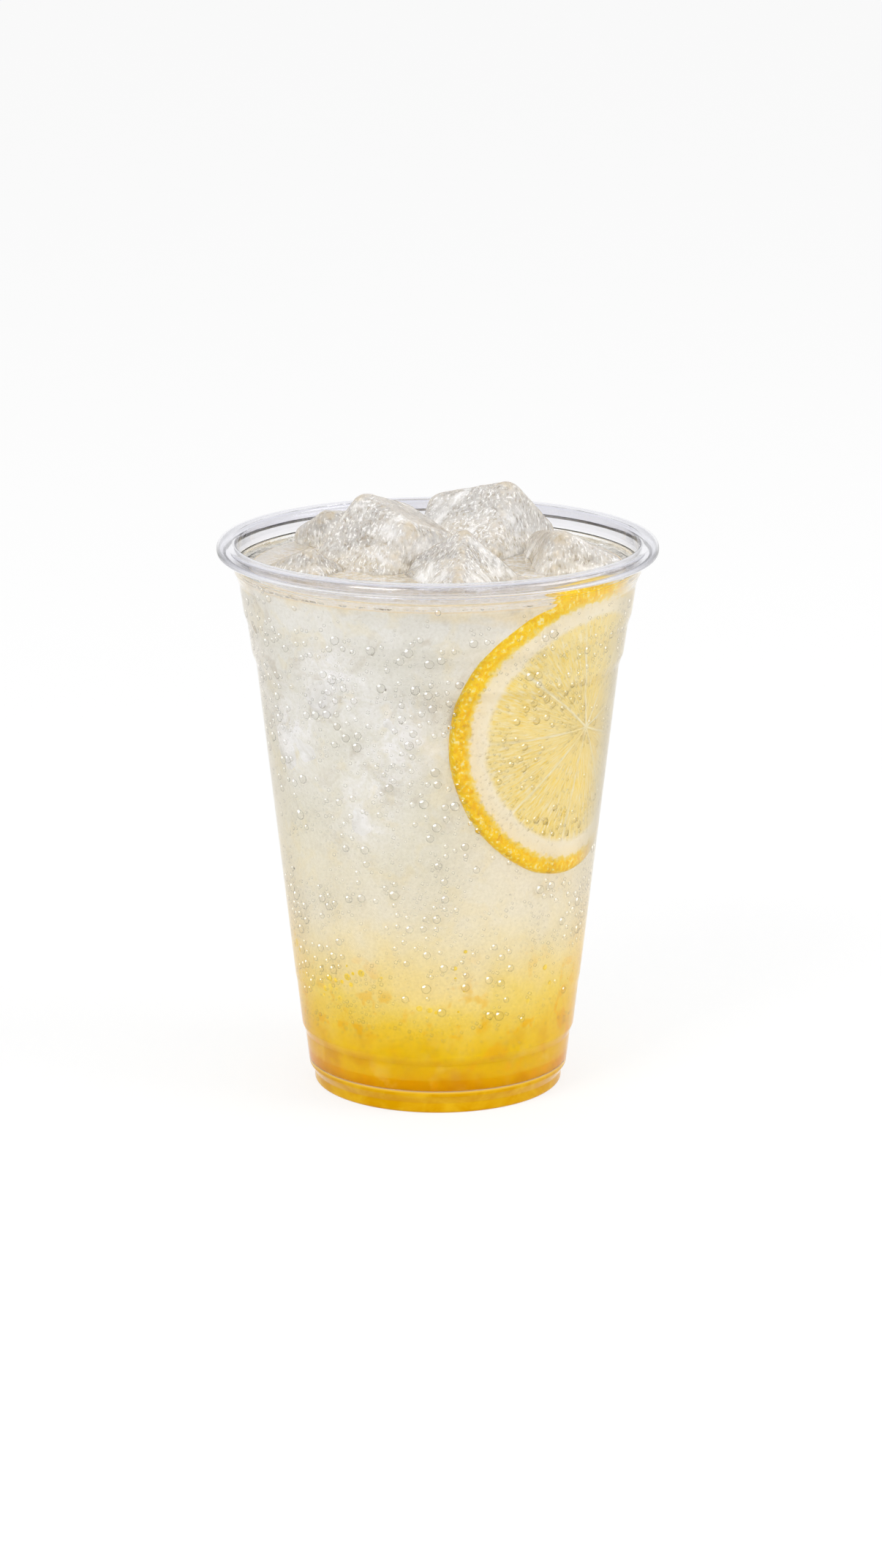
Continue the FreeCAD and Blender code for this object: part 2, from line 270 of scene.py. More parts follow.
def withSupport(points, edge):
    # long stretches get a point close to each end and a few between, so that shading stays true
    result = [points[0]]
    for before, after in zip(points, points[1:]):
        span = (after - before).length
        shares = []
        if span > 3 * edge:
            parts = 1 + int(span / (12 * edge))
            shares = [edge / span] + [k / parts for k in range(1, parts)] + [1 - edge / span]
        result += [before.lerp(after, share) for share in shares] + [after]
    return result


def lathe(name, points, sides):
    # closed surface from a line in millimetres that starts and ends on the cup's axis
    verts, rings = [], []
    for point in points:
        if point.x < 1e-6:
            rings.append([len(verts)])
            verts.append((0, 0, point.y * mm))
            continue
        rings.append(list(range(len(verts), len(verts) + sides)))
        for k in range(sides):
            turn = 2 * math.pi * k / sides
            verts.append((point.x * mm * math.cos(turn), point.x * mm * math.sin(turn), point.y * mm))
    faces = []
    for low, high in zip(rings, rings[1:]):
        for k in range(sides):
            n = (k + 1) % sides
            if len(low) == 1:
                faces.append((low[0], high[n], high[k]))
            elif len(high) == 1:
                faces.append((low[k], low[n], high[0]))
            else:
                faces.append((low[k], low[n], high[n], high[k]))
    mesh = bpy.data.meshes.new(name)
    mesh.from_pydata(verts, [], faces)
    return facedOut(mesh)


def facedOut(mesh):
    shell = bmesh.new()
    shell.from_mesh(mesh)
    bmesh.ops.remove_doubles(shell, verts=shell.verts, dist=1e-7)
    bmesh.ops.recalc_face_normals(shell, faces=shell.faces)
    if shell.calc_volume(signed=True) < 0:
        bmesh.ops.reverse_faces(shell, faces=shell.faces)
    shell.to_mesh(mesh)
    shell.free()
    return smoothShaded(mesh)


# camera, light and floor

cameraPlace = dict(place=(0.00071, -1.0643, 0.3482), down=14.727, lens=112.63, sensor=36)

camera = bpy.data.objects.new("camera", bpy.data.cameras.new("camera"))
bpy.context.scene.collection.objects.link(camera)
camera.location = cameraPlace["place"]
camera.rotation_euler = (math.radians(90 - cameraPlace["down"]), 0, 0)
camera.data.lens = cameraPlace["lens"]
camera.data.sensor_width = cameraPlace["sensor"]
bpy.context.scene.camera = camera

studio = dict(
    lamps=[("keyLight", (-0.60, -0.80, 0.95), 0.55, 6.0), ("fillLight", (0.85, -0.25, 0.70), 0.60, 4.0)],
    aimHeight=0.08,
    skyStops=(0.12, 0.5, 0.95), skyMiddle=(240, 240, 245), skyHigh=(205, 205, 214),
    sideFrom=0.2, skyGlow=0.97, sideGlow=0.5,
    flag=(152, 145, 132), flagFrom=0.72, flagTo=0.97, flagShare=0.7,
    floorSize=24.0, floorGlow=0.75, floorGrain=(40, 4), floorTones=(grey(0.93), grey(0.95)),
    bounces=24, glossyBounces=10,
)


def softLamp(name, place, size, power):
    lamp = bpy.data.lights.new(name, "AREA")
    lamp.size = size
    lamp.energy = power
    made = bpy.data.objects.new(name, lamp)
    bpy.context.scene.collection.objects.link(made)
    made.location = place
    aim = Vector((0, 0, studio["aimHeight"])) - Vector(place)
    made.rotation_euler = aim.to_track_quat("-Z", "Y").to_euler()


def seenThroughGlass(tree):
    # 1 for what a reflection or a look through glass meets
    path = startNode(tree, "LightPath").outputs
    return math2("MAXIMUM", path["Is Glossy Ray"], path["Is Transmission Ray"])


def seenDirectly(tree):
    # 1 for what the lens, a reflection or a look through glass meets, 0 for plain lighting
    path = startNode(tree, "LightPath").outputs
    return math2("MAXIMUM", path["Is Camera Ray"], seenThroughGlass(tree))


def lightWorld():
    world = bpy.data.worlds.new("studio")
    bpy.context.scene.world = world
    world.use_nodes = True
    tree = world.node_tree
    back = tree.nodes["Background"]
    place = partsOf(startNode(tree, "TexCoord").outputs["Generated"])
    tones = [grey(1), studio["skyMiddle"], studio["skyHigh"]]
    sky = colourRamp(place["Z"], list(zip(studio["skyStops"], tones)))
    # darker flags at the left and the right draw the edges of what is clear
    aside = math2("ABSOLUTE", place["X"])
    flag = remap(aside, studio["flagFrom"], studio["flagTo"], 0, studio["flagShare"], True)
    sky = mix(flag, sky, studio["flag"])
    feed(back, "Color", mix(seenThroughGlass(tree), grey(1), sky))
    # the plain lighting is a little weaker from the left and the right
    glow = remap(aside, studio["sideFrom"], 1, studio["skyGlow"], studio["sideGlow"])
    plain = math2("SUBTRACT", 1, seenDirectly(tree))
    feed(back, "Strength", math2("ADD", seenDirectly(tree), times(plain, glow)))


def layFloor():
    half = studio["floorSize"] / 2
    mesh = bpy.data.meshes.new("floor")
    mesh.from_pydata([(-half, -half, 0), (half, -half, 0), (half, half, 0), (-half, half, 0)], [],
                     [(0, 1, 2, 3)])
    material, tree, shader = newMaterial("paleFloor", roughness=0.9, specularLevel=0.0)
    grain = noiseOf(objectPlace(tree), *studio["floorGrain"])
    feed(shader, "Base Color", mix(grain, *studio["floorTones"]))
    glow = startNode(tree, "Emission")
    share = remap(seenDirectly(tree), 0, 1, 0, studio["floorGlow"])
    both = addNode("MixShader", {0: share, 1: shader.outputs[0], 2: glow.outputs[0]})
    feed(tree.nodes["Material Output"], "Surface", both.outputs[0])
    newPiece("floor", mesh, material)


for lampSettings in studio["lamps"]:
    softLamp(*lampSettings)
lightWorld()
layFloor()
bpy.context.scene.view_settings.view_transform = "Standard"
# sharp glass, with enough passes for light to reach the ice and bubbles behind it
bpy.context.scene.cycles.blur_glossy = 0.0
bpy.context.scene.cycles.max_bounces = studio["bounces"]
bpy.context.scene.cycles.transmission_bounces = studio["bounces"]
bpy.context.scene.cycles.glossy_bounces = studio["glossyBounces"]
print("camera, light and floor ready")


# cup

cup = dict(
    height=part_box("cup")[1].z / mm, rimRadius=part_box("cup")[1].x / mm, mouthRadius=45.2,
    footRadius=28.0, sheetThick=0.45, softCorner=0.8, footHeight=2.4, footFlat=2.2,
    baseRise=2.6, baseSlope=2.8, lowRise=1.9, highRise=2.6, footStep=1.2, lowStep=0.75,
    midStep=0.35, highStep=0.97, topStep=0.85, flareStep=1.1, lowBandTop=11.75,
    midBandTop=23.3, mainDrop=27.3, highBandDrop=18.2, topBandDrop=9.1, lowDraft=6.5,
    highDraft=8.0, rimDepth=3.1, curlRadius=1.5, lipRound=0.9, curlReturn=0.9,
    sides=224, bendSteps=6, bending=1.24, shine=0.45,
)


def wallCorners():
    # outside of the wall, shoulder by shoulder: up from the foot, and down from the mouth
    lean = math.tan(math.radians(cup["lowDraft"]))
    radius, height = cup["footRadius"], cup["footHeight"]
    low = [(radius, height)]
    for step, bandTop in (("footStep", "lowBandTop"), ("lowStep", "midBandTop"), ("midStep", None)):
        radius, height = radius + cup[step], height + cup["lowRise"]
        low.append((radius, height))
        if bandTop:
            radius, height = radius + (cup[bandTop] - height) * lean, cup[bandTop]
            low.append((radius, height))
    lean = math.tan(math.radians(cup["highDraft"]))
    radius, high = cup["mouthRadius"], []
    for drop, step, bandDrop in (("topBandDrop", "flareStep", "highBandDrop"),
                                 ("highBandDrop", "topStep", "mainDrop"),
                                 ("mainDrop", "highStep", None)):
        height = cup["height"] - cup[drop]
        high += [(radius, height + cup["highRise"]), (radius - cup[step], height)]
        if bandDrop:
            radius -= cup[step] + (cup[bandDrop] - cup[drop] - cup["highRise"]) * lean
    return low + high[::-1]


wall = wallCorners()
footInner = cup["footRadius"] - cup["footFlat"]
panelEdge = footInner - cup["baseSlope"]


def insideLine(inset, bend):
    # inside of the cup from the middle of its base up the wall, moved inwards by an inset
    low = cup["sheetThick"] + inset
    line = [(0, cup["baseRise"] + low, None), (panelEdge + inset / 2, cup["baseRise"] + low, bend)]
    line += [(footInner + inset / 2, low, bend), (cup["footRadius"] - low, low, bend)]
    line += [(radius - low, height, bend) for radius, height in wall]
    return line


def insideRadius(height):
    # inner radius of the wall at a height
    for (r1, z1), (r2, z2) in zip(wall, wall[1:]):
        if height <= z2:
            return r1 + (r2 - r1) * (height - z1) / (z2 - z1) - cup["sheetThick"]
    return cup["mouthRadius"] - cup["sheetThick"]


def makeCup():
    sheet, soft, top = cup["sheetThick"], cup["softCorner"], cup["height"]
    curlIn, under, floor = cup["rimRadius"] - sheet, top - sheet, top - cup["rimDepth"]
    curlEnd = cup["rimRadius"] - cup["curlRadius"] - cup["curlReturn"]
    line = [(0, cup["baseRise"], None), (panelEdge, cup["baseRise"], soft)]
    line += [(footInner, 0, soft), (cup["footRadius"], 0, soft)]
    line += [(radius, height, soft) for radius, height in wall]
    line += [(cup["mouthRadius"], under, cup["lipRound"] - sheet),
             (curlIn, under, cup["curlRadius"] - sheet)]
    line += [(curlIn, floor + sheet, cup["curlRadius"] - sheet), (curlEnd, floor + sheet, None)]
    line += [(curlEnd, floor, None), (cup["rimRadius"], floor, cup["curlRadius"])]
    line += [(cup["rimRadius"], top, cup["curlRadius"]), (cup["mouthRadius"] - sheet, top, cup["lipRound"])]
    line += list(reversed(insideLine(0, soft - sheet / 2)))
    return lathe("cupWall", withSupport(roundedLine(line, cup["bendSteps"]), 0.35), cup["sides"])


def slanted(tree, low, high):
    # 0 where the surface faces the lens, 1 where it turns away at the outline
    facing = startNode(tree, "LayerWeight").outputs["Facing"]
    return remap(facing, low, high, 0, 1)


# Belts are heights in millimetres, the dry one from the drink's surface; the rim's is a distance out.
cupLook = dict(
    sheet=((0.998, 0.998, 1, 1), (0.985, 0.985, 0.995, 1)), sheetCloud=(35, 3), outline=(0.5, 0.9),
    outlineBelt=(25, 55), outlineTones=((242, 206, 110), (232, 221, 198)),
    dryBelt=(0.9, 1.4), dryShade=(0.90, 0.895, 0.925, 1), waves=(90, 2), waveStretch=0.18,
    waveBump=(0.12, 0.0004), footRise=2.5, footShine=0.04, footTones=((253, 244, 214), (240, 198, 90)),
    goldBelt=(5.2, 5.7, 1, 0), swirl=((140, 3, 0.6, 0.6), 0.4, 0.65), golds=((208, 154, 0), (222, 178, 30)),
    paleBelt=(4.8, 5.1), paleGold=(228, 186, 56), goldClear=0.15, goldGlow=((190, 146, 0), 0.12),
    rimBending=1.5, rimCloud=(60, 2), rimTones=((0.86, 0.86, 0.90, 1), (0.93, 0.93, 0.955, 1)),
    endSlant=(0.4, 0.75), endUpward=(0.4, 0.8, 1, 0), endOut=(46.2, 47.5, 0.25, 1),
    endShadeTone=(0.22, 0.22, 0.24, 1),
)


def clearSheet(look):
    # thin clear thermoformed plastic with faint waves from the mould
    material, tree, shader = clearMaterial("clearSheet", cup["bending"], cup["shine"])
    cloud = noiseOf(objectPlace(tree), *look["sheetCloud"])
    sheetColour = mix(cloud, *look["sheet"])
    # painted shade: the outline, where the sheet turns away from the lens, is tinted with the drink's cream
    # and gold, and the dry band at the top is painted a cool grey shade
    height = heightOf(tree)
    outline = mix(belt(height, *look["outlineBelt"]), *look["outlineTones"])
    sheetColour = mix(slanted(tree, *look["outline"]), sheetColour, outline)
    # painted cool grey shade over the band above the drink
    dryShade = belt(height, *[level + above for above in look["dryBelt"]])
    feed(shader, "Base Color", mix(dryShade, sheetColour, look["dryShade"]))
    waves = noiseOf(stretchedPlace(tree, look["waveStretch"]), *look["waves"])
    addBump(shader, waves, *look["waveBump"])
    return material


def goldenFoot(look):
    # the sheet round the syrup's foot, with gold running into its lower edge that glows as painted light, a
    # pale painted highlight along the top of the gold, and painted shade in its outline
    material, tree, shader = clearMaterial("goldenFoot", cup["bending"], look["footShine"])
    height = heightOf(tree)
    edge = belt(height, *look["goldBelt"])
    # painted shade: the outline turns to gold where the sheet turns away from the lens
    clear = mix(slanted(tree, *look["outline"]), *look["footTones"])
    gold = mix(patches(objectPlace(tree), *look["swirl"]), *look["golds"])
    # painted highlight: a pale gold line along the top of the gold band
    gold = mix(belt(height, *look["paleBelt"]), gold, look["paleGold"])
    feed(shader, "Base Color", mix(edge, clear, gold))
    feed(shader, "Transmission Weight", remap(edge, 0, 1, 1, look["goldClear"]))
    # painted glow: the gold edge glows, standing in for light through the foot
    addGlow(shader, edge, *look["goldGlow"])
    return material


def clearRim(look):
    # the curled rim is thicker and is tinted a cool grey, with painted shade along its outline at either
    # end, where its side turns away
    material, tree, shader = clearMaterial("clearRim", look["rimBending"])
    tone = mix(noiseOf(objectPlace(tree), *look["rimCloud"]), *look["rimTones"])
    normal = startNode(tree, "NewGeometry").outputs["Normal"]
    upward = remap(math2("ABSOLUTE", partsOf(normal)["Z"]), *look["endUpward"])
    fromAxis = vectors("LENGTH", vectors("MULTIPLY", objectPlace(tree), (1, 1, 0)))
    # painted shade where the rim's side turns away from the lens at its two ends
    end = times(slanted(tree, *look["endSlant"]), upward, belt(fromAxis, *look["endOut"]))
    feed(shader, "Base Color", mix(end, tone, look["endShadeTone"]))
    return material


cupWall = newPiece("cup_wall", makeCup(), clearSheet(cupLook), "clear_cup")
cupWall.data.materials.append(clearRim(cupLook))
cupWall.data.materials.append(goldenFoot(cupLook))
rimLow = (cup["height"] - cup["rimDepth"] - cup["softCorner"]) * mm
footHigh = (cup["footHeight"] + cup["lowRise"] + cupLook["footRise"]) * mm
for polygon in cupWall.data.polygons:
    polygon.material_index = 1 if polygon.center.z > rimLow else 2 if polygon.center.z < footHigh else 0
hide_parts("cup")
print("cup made")


# ice

iceLumps = ["ice_left", "ice_front", "ice_back", "ice_right", "ice_far_left", "ice_near_left"]
ice = {
    "grain": 0.5, "smoothing": 1, "coarseGrain": 1.3, "coarseSmoothing": 3, "drinkOverlap": 0.9,
    "melt": {"Dent Size": 0.010, "Dent Depth": 0.32 * mm, "Ripple Size": 0.0026, "Ripple Depth": 0.16 * mm},
    "seed": 4, "seedStep": 0.37,
}
# Patches are (noise pattern, then remap's settings); the wet belt is measured from the drink's surface.
iceLook = dict(
    frost=((130, 5, 0.65, 0.4), 0.48, 0.7, 0, 1, True), grain=(1500, 3, 0.6, 0.5), grainStretch=0.45,
    sparkle=(0.55, 0.63, 0, 0.9), dark=(0.45, 0.36, 0, 0.6), darkTone=(178, 162, 134), wetBelt=(4, -3),
    tones=((0.985, 0.985, 1, 1), (252, 248, 238)), ridge=(0.08, 0.16, 0, 0.6),
    ridgePatches=((420, 2), 0.35, 0.6, 0.3, 1), ridgeTone=(192, 170, 126), outline=(0.7, 0.92),
    outlineShare=0.8, outlineTone=(170, 144, 98), roughness=(0.02, 0.3), clear=(0.72, 0.2),
    bump=(0.3, 0.0003),
)


def newTree(name, inputs):
    # geometry tree with named inputs, each with its first value, or None for a material
    tree = bpy.data.node_groups.new(name, "GeometryNodeTree")
    tree.interface.new_socket("Geometry", in_out="INPUT", socket_type="NodeSocketGeometry")
    for label, value in inputs.items():
        kind = {float: "Float", int: "Int"}.get(type(value), "Material")
        socket = tree.interface.new_socket(label, in_out="INPUT", socket_type="NodeSocket" + kind)
        if value is not None:
            socket.default_value = value
    tree.interface.new_socket("Geometry", in_out="OUTPUT", socket_type="NodeSocketGeometry")
    start = tree.nodes.new("NodeGroupInput")
    return tree, start.outputs, tree.nodes.new("NodeGroupOutput")


def runTree(mesh, tree, values, name):
    # mesh made by the tree with these values, by socket name
    helper = newPiece(name + "Helper", mesh)
    modifier = helper.modifiers.new("nodes", "NODES")
    modifier.node_group = tree
    for item in tree.interface.items_tree:
        if item.in_out == "INPUT" and item.name in values:
            modifier[item.identifier] = values[item.name]
    result = baked(helper, name)
    bpy.data.objects.remove(helper)
    return result


def storeNamed(geometry, label, kind, value):
    store = addNode("GeometryNodeStoreNamedAttribute", {"Geometry": geometry, "Name": label},
                    data_type=kind, domain="POINT")
    join(value, next(s for s in store.inputs if s.name == "Value" and s.enabled))
    return store.outputs[0]


def paintAndEnd(geometry, material, end):
    real = nodeOut("GeometryNodeRealizeInstances", {"Geometry": geometry})
    painted = addNode("GeometryNodeSetMaterial", {"Geometry": real, "Material": material})
    join(painted.outputs[0], end.inputs[0])


def sizedNoise(place, size, detail, roughness=0.5):
    return noiseOf(place, math2("DIVIDE", 1.0, size), detail, roughness)


def meltTree():
    # pushes a surface inwards with broad dents and fine ripples, and stores how far each point stands proud
    tree, given, end = newTree("meltedSurface", {
        "Dent Size": 0.01, "Dent Depth": 0.001, "Ripple Size": 0.002, "Ripple Depth": 0.0001, "Seed": 0.0,
        "Material": None})
    place = startNode(tree, "GeometryNodeInputPosition").outputs[0]
    shifted = vectors("ADD", place, given["Seed"])
    broad = sizedNoise(shifted, given["Dent Size"], 2)
    fine = sizedNoise(shifted, given["Ripple Size"], 3, 0.6)
    dent = times(remap(broad, 0.3, 0.7, 0, 1, True), given["Dent Depth"])
    ripple = times(remap(fine, 0.3, 0.8), given["Ripple Depth"])
    push = times(math2("ADD", dent, ripple), -1.0)
    normal = startNode(tree, "GeometryNodeInputNormal").outputs[0]
    offset = vectors("SCALE", normal, push)
    moved = nodeOut("GeometryNodeSetPosition", {"Geometry": given["Geometry"], "Offset": offset})
    shaded = nodeOut("GeometryNodeSetShadeSmooth", {"Geometry": moved})
    blur = startNode(tree, "GeometryNodeBlurAttribute", data_type="FLOAT_VECTOR")
    blur.inputs["Iterations"].default_value = 10
    join(place, next(s for s in blur.inputs if s.name == "Value" and s.enabled))
    evened = next(s for s in blur.outputs if s.enabled)
    ridge = vectors("DOT_PRODUCT", vectors("SUBTRACT", place, evened), normal)
    stored = storeNamed(shaded, "ridge", "FLOAT", math2("DIVIDE", ridge, mm))
    paintAndEnd(stored, given["Material"], end)
    return tree


def iceMaterial(look):
    # clear ice with frosted streaks and thin melted ridges, creamy where the drink wets it, with painted
    # glints, painted dark specks, painted dark lines along the ridges and painted shade at the outline
    material, tree, shader = newMaterial("meltingIce", ior=1.31)
    place = objectPlace(tree)
    frost = patches(place, *look["frost"])
    grain = noiseOf(stretchedPlace(tree, look["grainStretch"]), *look["grain"])
    # painted glints (sparkle) and painted dark specks, both from one fine grain
    sparkle, dark = remap(grain, *look["sparkle"]), remap(grain, *look["dark"])
    wet = belt(heightOf(tree), *[level + above for above in look["wetBelt"]])
    body = mix(wet, *look["tones"])
    body = mix(dark, body, look["darkTone"])
    body = mix(math2("MAXIMUM", frost, sparkle), body, grey(1))
    # painted dark lines along the melted ridges
    crest = remap(attributeOf(tree, "ridge"), *look["ridge"])
    crest = times(crest, patches(place, *look["ridgePatches"]))
    body = mix(crest, body, look["ridgeTone"])
    # painted shade where the ice turns away from the lens at its outline
    outline = times(slanted(tree, *look["outline"]), look["outlineShare"])
    feed(shader, "Base Color", mix(outline, body, look["outlineTone"]))
    feed(shader, "Roughness", remap(frost, 0, 1, *look["roughness"]))
    white = math2("MAXIMUM", frost, math2("MAXIMUM", sparkle, crest))
    feed(shader, "Transmission Weight", remap(white, 0, 1, *look["clear"]))
    addBump(shader, grain, *look["bump"])
    return material


def nodeCopy(node):
    # the node's mesh as one merged surface
    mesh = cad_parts[node].data.copy()
    surface = bmesh.new()
    surface.from_mesh(mesh)
    bmesh.ops.remove_doubles(surface, verts=surface.verts, dist=1e-6)
    surface.to_mesh(mesh)
    surface.free()
    mesh.materials.clear()
    return mesh


def remeshed(mesh, name, grain, smoothing, *before):
    # the mesh again as an even net with cells of one size
    return finished(mesh, name, *before, ("REMESH", {"mode": "VOXEL", "voxel_size": grain * mm}),
                    ("SMOOTH", {"factor": 0.5, "iterations": smoothing}))


def shrunk(mesh, depth):
    result = mesh.copy()
    for vertex, normal in zip(result.vertices, [v.normal.copy() for v in mesh.vertices]):
        vertex.co -= normal * depth * mm
    return result


meltedSurface = meltTree()
meltingIce = iceMaterial(iceLook)
drinkCutters = []
for number, node in enumerate(iceLumps):
    fineSkin = remeshed(nodeCopy(node), node + "Fine", ice["grain"], ice["smoothing"])
    coarse = remeshed(nodeCopy(node), node + "Coarse", ice["coarseGrain"], ice["coarseSmoothing"])
    drinkCutters.append(shrunk(coarse, ice["drinkOverlap"]))
    given = {**ice["melt"], "Seed": ice["seed"] + number * ice["seedStep"], "Material": meltingIce}
    shape = runTree(fineSkin, meltedSurface, given, node + "_lump")
    lump = newPiece(node + "_lump", shape, meltingIce, "ice")
    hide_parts(node)


# Each sunken lump: degrees about the axis, height, size, and how far it stands out of the cloud.
sunkenIce = {
    "lumps": [(-126, 100, 21, 0.8), (-101, 89, 19, 0.9), (-148, 84, 19, 0.7), (-116, 71, 17, 0.6),
              (-170, 99, 18, 0.8),
              (150, 90, 20, 1.0), (110, 98, 21, 1.1), (72, 86, 20, 1.0), (40, 97, 19, 0.9),
              (95, 66, 17, 0.8)],
    "shape": (1.0, 0.86, 1.12), "spinAxis": (1, 2, 0.7), "firstSpin": 0.4, "spinStep": 1.9, "grain": 0.9,
    "smoothing": 4,
    "corner": {"width": 6.0 * mm, "segments": 4}, "seed": 21,
    "melt": {"Dent Size": 0.008, "Dent Depth": 0.6 * mm, "Ripple Size": 0.003, "Ripple Depth": 0.15 * mm},
    "frost": ((150, 4, 0.62, 1.6), 0.36, 0.62), "tones": ((230, 228, 222), (252, 251, 250)),
    "bumps": (300, 3), "bump": (0.3, 0.0006),
}


def roundedBlock(name, size, spin):
    block = bmesh.new()
    bmesh.ops.create_cube(block, size=size * mm)
    bmesh.ops.scale(block, verts=block.verts, vec=sunkenIce["shape"])
    axis = Vector(sunkenIce["spinAxis"]).normalized()
    bmesh.ops.rotate(block, verts=block.verts, matrix=Matrix.Rotation(spin, 3, axis))
    mesh = bpy.data.meshes.new(name)
    block.to_mesh(mesh)
    block.free()
    return remeshed(mesh, name, sunkenIce["grain"], sunkenIce["smoothing"], ("BEVEL", sunkenIce["corner"]))


def sunkenMaterial(look):
    material, tree, shader = newMaterial("sunkenIce", ior=1.1, roughness=0.5, specularLevel=0.3)
    place = objectPlace(tree)
    feed(shader, "Base Color", mix(patches(place, *look["frost"]), *look["tones"]))
    addBump(shader, noiseOf(place, *look["bumps"]), *look["bump"])
    return material


def sunkenLumps():
    # all the blocks as one mesh, each set against the surface of the cloud
    both = bmesh.new()
    for number, (about, height, size, proud) in enumerate(sunkenIce["lumps"]):
        block = roundedBlock("sunken%d" % number, size,
                             number * sunkenIce["spinStep"] + sunkenIce["firstSpin"])
        away = Vector((math.cos(math.radians(about)), math.sin(math.radians(about)), 0))
        reach = max(v.co.dot(away) for v in block.vertices)
        out = insideRadius(height) - drink["cloudInset"] + proud
        block.transform(Matrix.Translation(away * (out * mm - reach) + Vector((0, 0, height * mm))))
        both.from_mesh(block)
    result = bpy.data.meshes.new("sunken")
    both.to_mesh(result)
    both.free()
    return smoothShaded(result)


drink = dict(
    reach=0.1, meniscusRise=0.9, meniscusRun=2.6, meniscusBend=(0.45, 0.18), sides=168,
    bendSteps=3, grain=0.6, cloudInset=2.6, cloudFootInset=0.12, cloudBelt=(8, 30), cloudTopDrop=0.9,
    cloudEdge=0.8, cloudSides=192, cloudGrain=1.0, bending=1.33, shine=0.12, iceLightWidth=9.5,
)
given = {**sunkenIce["melt"], "Seed": sunkenIce["seed"], "Material": sunkenMaterial(sunkenIce)}
sunkenShape = runTree(sunkenLumps(), meltedSurface, given, "ice_sunken")
newPiece("ice_sunken", sunkenShape, given["Material"], "ice")
print("ice made")


# drink

# Belts are heights in millimetres with the shares at both ends, the surface's measured from its level.
# Patches are (noise pattern, then remap's settings), and the ramp's stops are shares of its reach.
drinkLook = dict(
    clearSwirl=(60, 3), clearTones=(grey(1), (0.998, 0.998, 0.992, 1)), ripples=(320, 3),
    rippleBelts=((-1, -0.4), (0.2, 0.05)), rippleBump=(0.5, 0.0006),
    drift=((55, 3, 0.55, 0.6), 0.2, 0.8, -0.005, 0.005), reach=120,
    stops=[
        (0.02, (226, 178, 0)), (0.045, (231, 182, 0)), (0.07, (236, 195, 0)),
        (0.12, (240, 203, 0)), (0.16, (244, 214, 66)), (0.205, (246, 224, 118)),
        (0.255, (247, 229, 162)), (0.31, (246, 234, 194)), (0.39, (243, 236, 214)),
        (0.55, (235, 231, 214)), (0.75, (232, 230, 218)), (0.955, (232, 230, 221)),
        (0.975, (236, 225, 198))],
    wisps=(((85, 4, 0.6, 1.2), 0.42, 0.75), (30, 60, 0, 0.35), (0.93, 0.92, 0.89, 1)),
    iceLight=(0.1, 0.95, 0, 1, True), iceLightVeins=((150, 4, 0.62, 1.6), 0.36, 0.62, 0.15, 1),
    iceLightTone=(253, 252, 251),
    shadeMottle=(((120, 4, 0.62, 1.0), 0.55, 0.68), (50, 80, 0, 0.55), (204, 196, 180)),
    grain=((1500, 3, 0.6), 0.36, 0.64), grainTones=((0.955, 0.95, 0.94, 1), (1.04, 1.04, 1.05, 1)),
    paleBlotches=(((150, 3, 0.55, 0.5), 0.46, 0.34), (6, 30, 0.5, 0.1), (244, 214, 90)),
    pulp=(((240, 2, 0.5), 0.54, 0.66, 0, 1, True), (18, 40, 0.8, 0), (243, 192, 0), ((62, 2), 0.42, 0.54)),
    deepBlotches=(((130, 3, 0.6), 0.5, 0.66), (10, 22, 0.7, 0), (222, 164, 0)),
    footBands=[((5.4, 6.0, 0.5, 0), (244, 208, 80)), ((4.8, 5.2, 1, 0), (216, 166, 0))],
    topBelt=(-1.45, -0.95), froth=(800, 4, 0.65, 0.5),
    frothParts=[((0.48, 0.38, 0, 0.7), (200, 184, 152)), ((0.50, 0.58, 0, 0.85), (251, 250, 250))],
    besideWall=(34, 40, 0, 0.8), besideTone=(231, 227, 217), lineBelt=(-1.55, -1.15),
    lineOut=(41.0, 41.6, 0, 0.6), lineTone=(238, 206, 132), glowBelt=(4.4, 5.2, 1, 0),
    glow=((205, 165, 0), 0.15),
)


def cutBy(mesh, tools, name):
    # the mesh with the tools' solids taken out of it
    helpers = [newPiece(name + "Tool%d" % k, tool) for k, tool in enumerate(tools)]
    cuts = [("BOOLEAN", {"operation": "DIFFERENCE", "solver": "MANIFOLD",
                         "object": tool}) for tool in helpers]
    result = finished(mesh, name, *cuts)
    for helper in helpers:
        bpy.data.objects.remove(helper)
    return smoothShaded(result)


def liquidShape():
    # the drink's outline, just into the wall, with its surface drawn up at the wall
    line = insideLine(-drink["reach"], cup["softCorner"])
    line = [corner for corner in line if corner[1] < level - 2]
    mouth = insideRadius(level) + drink["reach"]
    rise, run = drink["meniscusRise"], drink["meniscusRun"]
    across, up = drink["meniscusBend"]
    line += [(mouth, level + rise, None), (mouth - run * across, level + rise * up, 2 * run),
             (mouth - 2.5 * run, level, None), (0, level, None)]
    return lathe("drinkShape", withSupport(roundedLine(line, drink["bendSteps"]), drink["grain"]),
                 drink["sides"])


